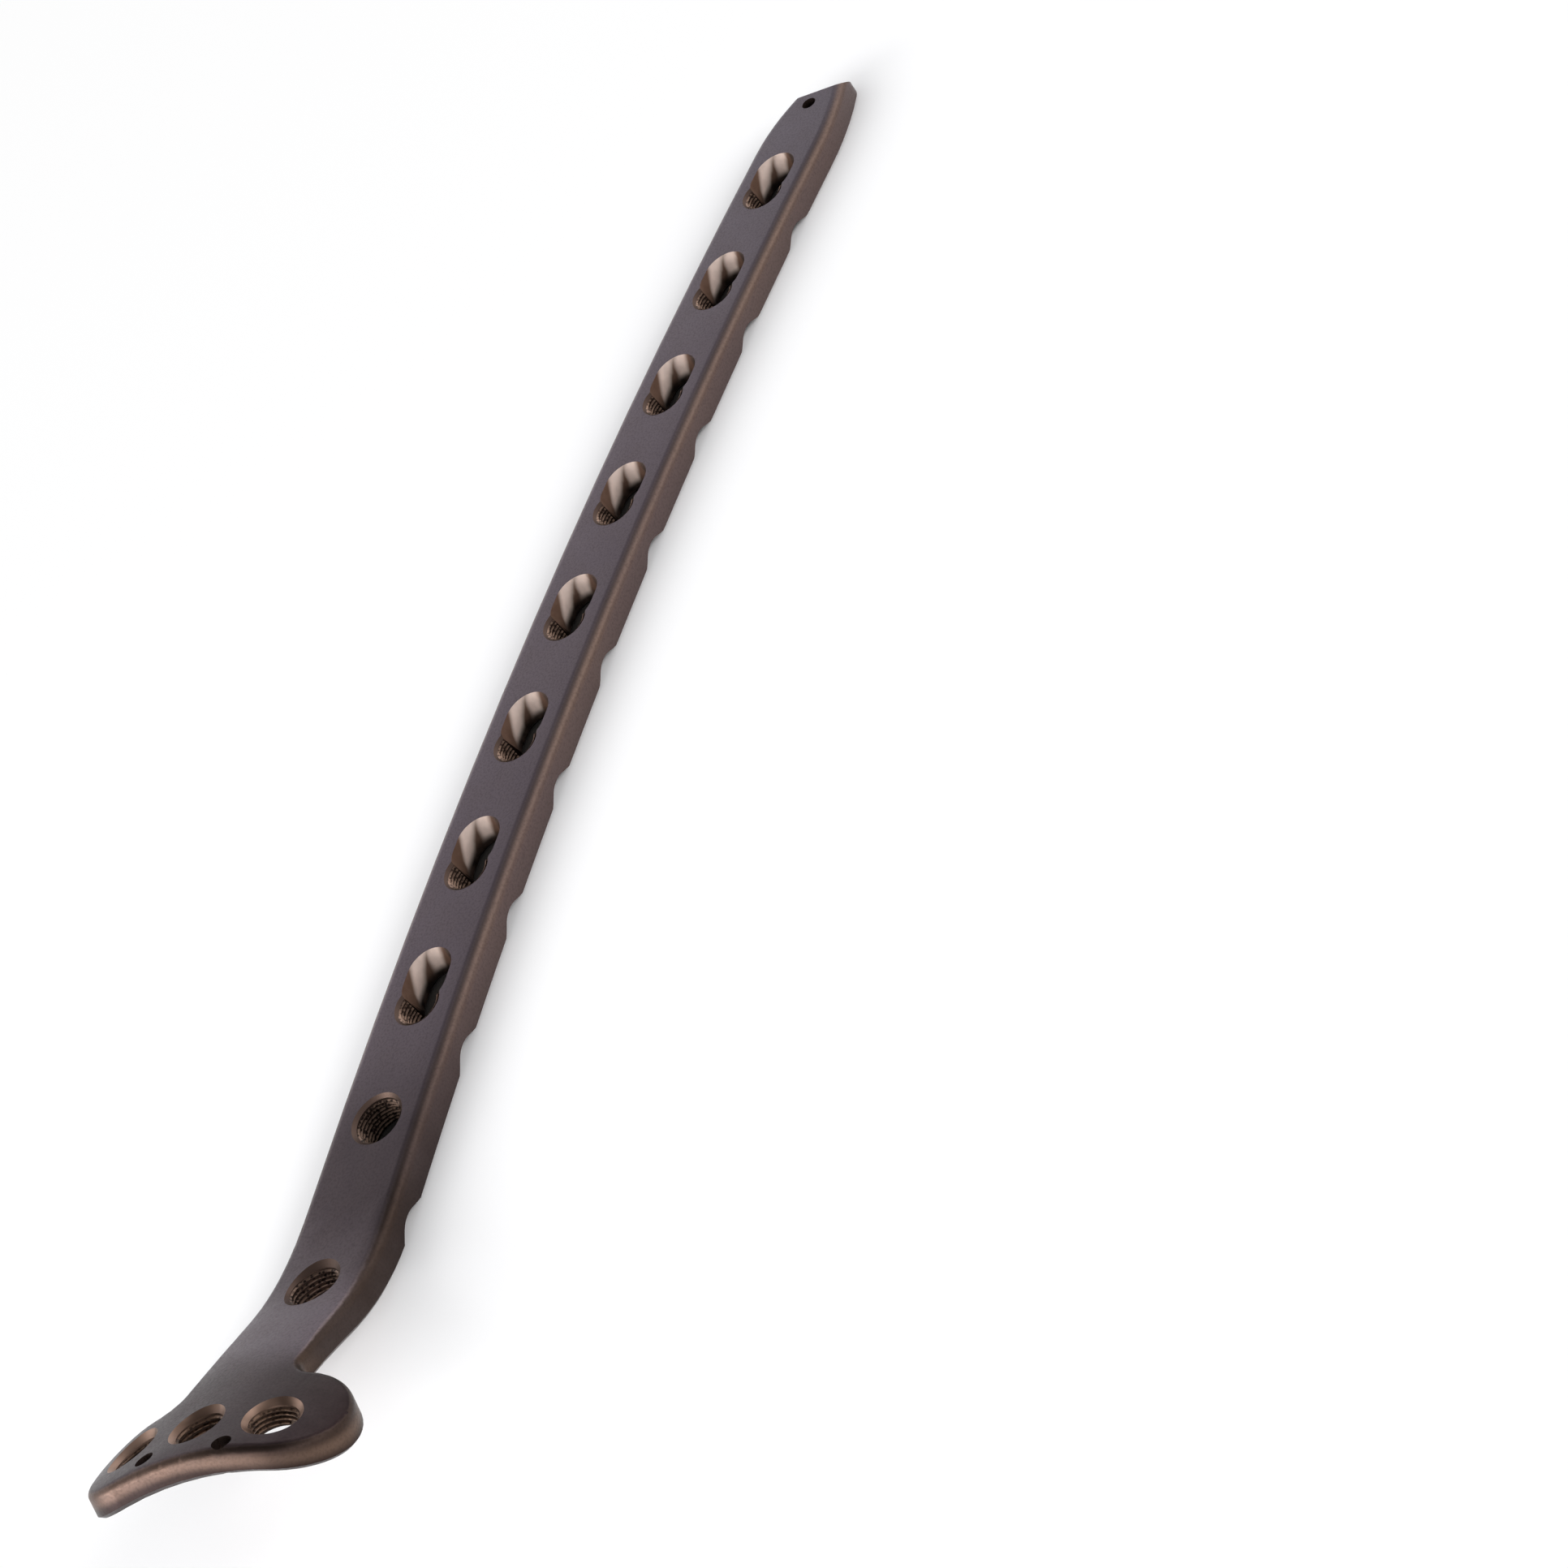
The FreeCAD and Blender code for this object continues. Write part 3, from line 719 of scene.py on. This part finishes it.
# %% Threaded walls and wire holes
GLINT_SCALE = 330.0
LEAD_TO_SHADED_WALL = (0.0001, 0.0016)
thread_wall, shader, w = surface_finish("threaded_walls", 0.42, 0.9)
head = soft_step(w, coordinate(w, 0), *HEAD_ZONE)
glint = soft_step(w, noise(w, GLINT_SCALE, 1.0), 0.40, 0.60)
# Painted highlight on the head's countersinks, broken up by noise.
head_lead_highlight = blend(w, glint, linear(112, 90, 77), linear(160, 132, 116))
lead = blend(w, head, linear(90, 73, 65), head_lead_highlight)
# Painted shade: the walls darken from the chamfer down into the hole.
wall = blend(w, head, linear(60, 46, 40), linear(48, 37, 31))
deep = soft_step(w, stored(w, "depth_below"), *LEAD_TO_SHADED_WALL)
blend(w, deep, lead, wall).into(shader, "Base Color")
wire_wall, shader, w = surface_finish("wire_hole_walls", 0.5, 0.8)
# Painted shade: the narrow wire bores are coloured dark.
shader.inputs["Base Color"].default_value = linear(52, 40, 36)
print("finishes for", thread_wall.name, "and", wire_wall.name)

# %% [markdown]
# ## Ridges, and a finish for every face
# The crests of the ridges are worn a little lighter by the cutter, in short marks along each
# turn. Cells of a Voronoi pattern give marks of about the right length, where noise would give
# clouds. Then the body takes its four materials, and each face the one of its zone.

# %% Ridge metal, and the materials of the body
MARK_SCALE = 2500.0


def ridge_finish(name, low, high):
    """Metal ridges with short worn marks between a low and a high tone."""
    material, shader, w = surface_finish(name, 0.34, 0.95)
    sockets = {"Vector": spot_on_plate(w), "Scale": MARK_SCALE}
    marks = w.node("ShaderNodeTexVoronoi", {}, sockets)
    blend(w, soft_step(w, marks, 0.25, 0.62), low, high).into(shader, "Base Color")
    return material


for piece, low, high in (
    (shaft_threads, linear(40, 31, 28), linear(116, 96, 84)),
    (combi_threads, linear(80, 63, 54), linear(150, 124, 108)),
    (head_threads, linear(60, 46, 38), linear(104, 83, 69)),
):
    piece.data.materials.append(ridge_finish(piece.name + "_metal", low, high))

mesh.materials.clear()
for material in (skin, slot_wall, thread_wall, wire_wall):
    mesh.materials.append(material)
for polygon, zone in zip(mesh.polygons, zones):
    polygon.material_index = zone
print("materials on the body:", [material.name for material in mesh.materials])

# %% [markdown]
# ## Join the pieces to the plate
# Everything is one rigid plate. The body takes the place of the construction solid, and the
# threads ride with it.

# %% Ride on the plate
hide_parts("bone_plate")
pieces = (plate, shaft_threads, head_threads, combi_threads)
for piece in pieces:
    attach(piece, "root")
print("pieces that ride on the plate:", [piece.name for piece in pieces])

# %% [markdown]
# ## Floor
# The floor is white paper. It lies a hair lower than the plate, so that no two faces share a
# plane. Close to the plate it is lit as it falls, with the plate's shadow, and away from it it
# goes over to plain white. More light would make it white too, but would bleach the plate.
# Straight under the shaft it is dark grey, a painted shadow, so that the paper doesn't glow
# through the holes and make them look shallow.

# %% Paper under the plate
MIDDLE = Vector((0.056, -0.005, 0.0))
LENGTH = 0.214
FLOOR_HALF = 6.0
FLOOR_GAP = 0.00005
PAPER = (0.90, 0.90, 0.90, 1)
PAINTED_SHADOW_UNDER = (0.07, 0.065, 0.06, 1)
WHITE = (1, 1, 1, 1)
WHITE_SHARE = 0.86
SHADOW_NEAR, SHADOW_FAR = 0.0085, 0.038
HOLES_MIDDLE, HOLES_HALF = 0.074, 0.073
DARK_INSIDE, DARK_OUTSIDE = 0.0034, 0.0046

floor_mesh = bpy.data.meshes.new("floor")
bm = bmesh.new()
bmesh.ops.create_grid(bm, x_segments=1, y_segments=1, size=FLOOR_HALF)
bm.to_mesh(floor_mesh)
bm.free()
floor = bpy.data.objects.new("floor", floor_mesh)
bpy.context.collection.objects.link(floor)
floor.location.z = -FLOOR_GAP
paper, shader, w = surface_finish("paper", 0.9, 0.0)
floor_mesh.materials.append(paper)
x, y = coordinate(w, 0), coordinate(w, 1)
beside = y + x * x * (-SHAFT_TURN / 2)


def past_ends(middle, half):
    """How far x lies past either end of a stretch along the shaft."""
    return larger(w, w.math("ABSOLUTE", x - middle, 0.0) - half, 0.0)


beyond = past_ends(MIDDLE.x, LENGTH / 2)
away = soft_step(w, beside * beside + beyond * beyond, SHADOW_NEAR ** 2, SHADOW_FAR ** 2)
past_holes = past_ends(HOLES_MIDDLE, HOLES_HALF)
off_holes = beside * beside + past_holes * past_holes
# Painted shadow: the paper goes dark grey straight under the shaft.
shadow_under_shaft = soft_step(w, off_holes, DARK_OUTSIDE ** 2, DARK_INSIDE ** 2)
blend(w, shadow_under_shaft, PAPER, PAINTED_SHADOW_UNDER).into(shader, "Base Color")
seen = w.node("ShaderNodeLightPath", out="Is Camera Ray")
for ray in ("Is Glossy Ray", "Is Transmission Ray"):
    seen = larger(w, seen, w.node("ShaderNodeLightPath", out=ray))
white = w.node("ShaderNodeEmission", {}, {"Color": WHITE, "Strength": 1.0})
lit = Val(w.tree, shader.outputs[0])
backdrop = w.node("ShaderNodeMixShader", {}, {0: seen * away * WHITE_SHARE, 1: lit, 2: white})
backdrop.into(w.tree.nodes["Material Output"], "Surface")
print("floor reaches", FLOOR_HALF, "m from the plate")

# %% [markdown]
# ## Room
# A product picture of dark metal needs something pale for it to reflect. The room is bright
# in a wide ring at half height and dark overhead: the broad face mirrors the upper rim of that
# ring, the bend of the neck catches its brightest part, and the rounded edges turn from dark
# through bright to dark. One even sky would light the plate as much, but flatten all of that.

# %% Room, from the ground to the zenith
RING = [
    (0.00, 0.90), (0.05, 0.70), (0.11, 0.12), (0.22, 1.50), (0.34, 1.70), (0.47, 1.00),
    (0.55, 1.28), (0.62, 1.00), (0.70, 0.46), (0.80, 0.26), (1.00, 0.14),
]
BLUE_CAST = 1.02
world = bpy.data.worlds.new("studio")
bpy.context.scene.world = world
world.use_nodes = True
w = Val(world.node_tree)
height = w.node("ShaderNodeSeparateXYZ", {}, {0: w.node("ShaderNodeTexCoord", out=0)}, out=2)
glow = ramp(w, height, [(at, (level, level, level * BLUE_CAST, 1)) for at, level in RING])
background = world.node_tree.nodes["Background"]
glow.into(background, "Color")
background.inputs["Strength"].default_value = 1.0
print("bands of light in the room:", len(RING))

# %% [markdown]
# ## Lamps
# Two low lamps light the walls of the holes, one from the right of the plate and one from
# beyond the head. Their mirror image would glare on the edges, so they only light and are not
# mirrored. The third stands beyond the head's left and is mirrored: it gives the bright line
# on the head's front edge.

# %% Three lamps
LAMP_DISTANCE = 0.7
LAMP_WIDTH = 0.45
LAMP_HEIGHT = 0.3


def softbox(name, direction, level, mirrored):
    """A lamp in some direction from the plate. Level is how bright its face looks."""
    light = bpy.data.lights.new(name, "AREA")
    light.shape = "RECTANGLE"
    light.size, light.size_y = LAMP_WIDTH, LAMP_HEIGHT
    light.energy = level * math.pi * LAMP_WIDTH * LAMP_HEIGHT
    lamp = bpy.data.objects.new(name, light)
    bpy.context.collection.objects.link(lamp)
    lamp.location = MIDDLE + Vector(direction).normalized() * LAMP_DISTANCE
    lamp.rotation_euler = (MIDDLE - lamp.location).to_track_quat("-Z", "Y").to_euler()
    lamp.visible_glossy = mirrored
    print(name, "at level", level)


softbox("right_box", (0.30, -0.90, 0.42), 7.5, False)
softbox("left_box", (-0.85, 0.20, 0.42), 5.5, False)
softbox("front_box", (-0.81, 0.58, 0.24), 5.6, True)

# %% [markdown]
# ## Camera
# The plate is long and the camera stands close to its head, so the shaft shrinks with
# distance. Its place and turn were worked out from the hole centres and the outline.

# %% Camera
EYE = Vector((-0.14906, -0.20832, 0.20747))
TO_RIGHT = Vector((0.2122, -0.8422, -0.4957))
TO_TOP = Vector((0.7884, -0.1522, 0.5960))
TO_BACK = Vector((-0.5774, -0.5173, 0.6317))
camera_data = bpy.data.cameras.new("camera")
camera_data.lens = 70.0
camera_data.sensor_width = 36.0
camera_data.clip_start = 0.01
camera = bpy.data.objects.new("camera", camera_data)
bpy.context.collection.objects.link(camera)
turn = Matrix((TO_RIGHT, TO_TOP, TO_BACK)).transposed().to_4x4()
camera.matrix_world = Matrix.Translation(EYE) @ turn
bpy.context.scene.camera = camera
bpy.context.scene.view_settings.view_transform = "Standard"
print("camera at", tuple(round(c, 3) for c in camera.matrix_world.translation))
